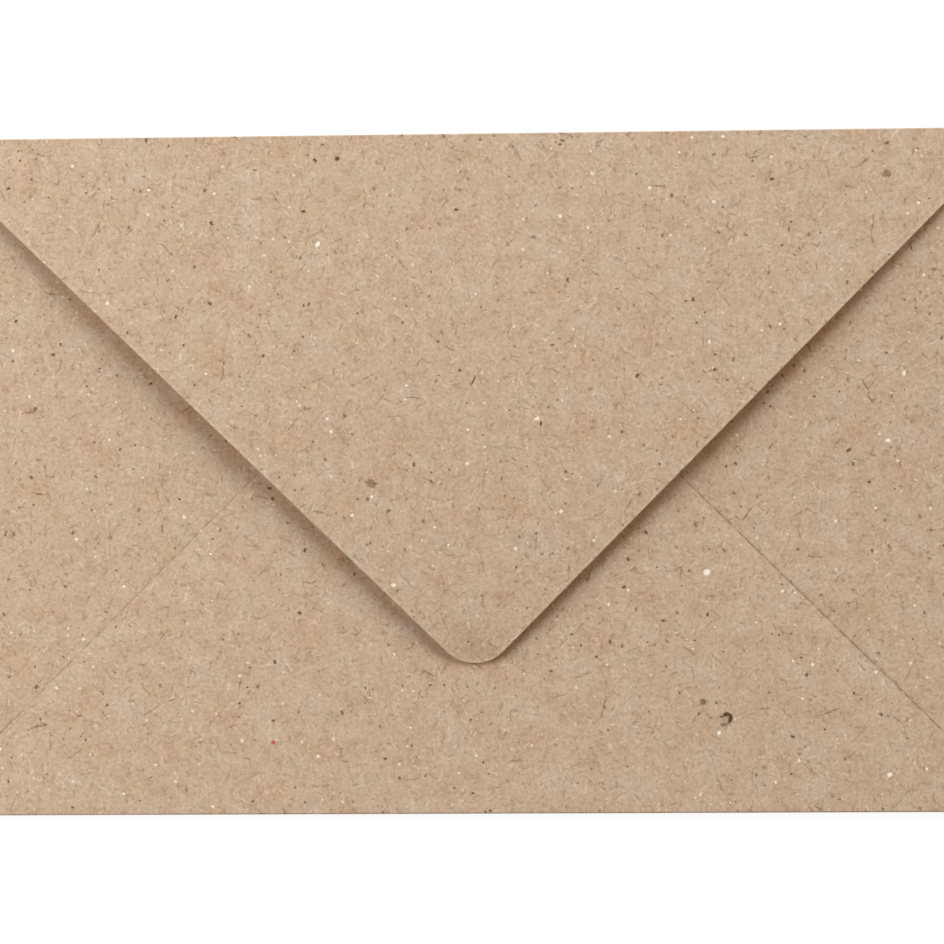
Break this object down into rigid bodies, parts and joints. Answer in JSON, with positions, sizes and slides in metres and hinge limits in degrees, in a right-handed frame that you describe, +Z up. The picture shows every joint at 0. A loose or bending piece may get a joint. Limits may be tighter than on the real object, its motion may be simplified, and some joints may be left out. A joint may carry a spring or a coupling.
{
  "type": "envelope",
  "caption": "Flat envelope folded from brown recycled paper, with slanting seams, a flat pocket and a deep pointed seal flap with a rounded tip, hinged at the top fold.",
  "frame": {"origin": "under the middle of the closed envelope, on the surface that its address side lies on", "axes": "+X along the long side to the right when the seal flap faces up and points to -Y, +Y towards the top fold, +Z up through the layers"},
  "size_m": [0.18, 0.11, 0.0028],
  "materials": {
    "kraft_paper": "matte",
    "dry_paste": "satin",
    "sealing_gum": "satin"
  },
  "bodies": {
    "pocket": {"front_panel": "kraft_paper", "left_side_flap": "kraft_paper", "right_side_flap": "kraft_paper", "bottom_flap": "kraft_paper", "left_fold": "kraft_paper", "right_fold": "kraft_paper", "bottom_fold": "kraft_paper", "top_fold": "kraft_paper", "left_seam_paste": "dry_paste", "right_seam_paste": "dry_paste"},
    "closure": {"seal_flap": "kraft_paper", "seal_gum": "sealing_gum"}
  },
  "joints": [
    {"name": "seal_flap_hinge", "type": "hinge", "parent": "pocket", "child": "closure", "pos_m": [0, 0.05445, 0.00055], "axis": [-1, 0, 0], "range_deg": [0, 175], "deforming": ["top_fold"]}
  ]
}
